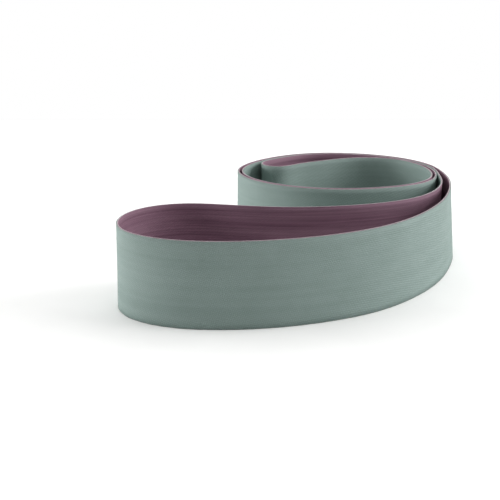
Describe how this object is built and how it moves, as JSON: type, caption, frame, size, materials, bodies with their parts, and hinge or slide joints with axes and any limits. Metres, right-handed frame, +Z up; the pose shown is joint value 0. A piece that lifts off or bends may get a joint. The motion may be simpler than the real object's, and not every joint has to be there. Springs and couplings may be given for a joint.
{
  "type": "abrasive belt",
  "caption": "Endless abrasive belt for a belt grinder, loosely coiled and standing on its cut edge, grey-green abrasive outside and maroon cloth inside.",
  "frame": {"origin": "on the plane of the lower cut edge, at the middle of the belt's plan box", "axes": "+Z up along the belt's width, -Y towards the open front loop, +X to the right seen from the front loop"},
  "size_m": [0.2172, 0.2503, 0.0508],
  "materials": {
    "backing_cloth": "woven polycotton filled with resin, maroon",
    "bond_coat": "cured resin, dark brown-grey",
    "abrasive_coat": "structured abrasive grain in resin, grey-green, matt",
    "splice_adhesive": "cured amber adhesive",
    "splice_tape": "thin satin film with reinforcing threads"
  },
  "bodies": {
    "root": {"backing_cloth": "backing_cloth", "bond_coat": "bond_coat", "abrasive_coat": "abrasive_coat", "splice_adhesive": "splice_adhesive", "splice_tape": "splice_tape"}
  },
  "joints": []
}
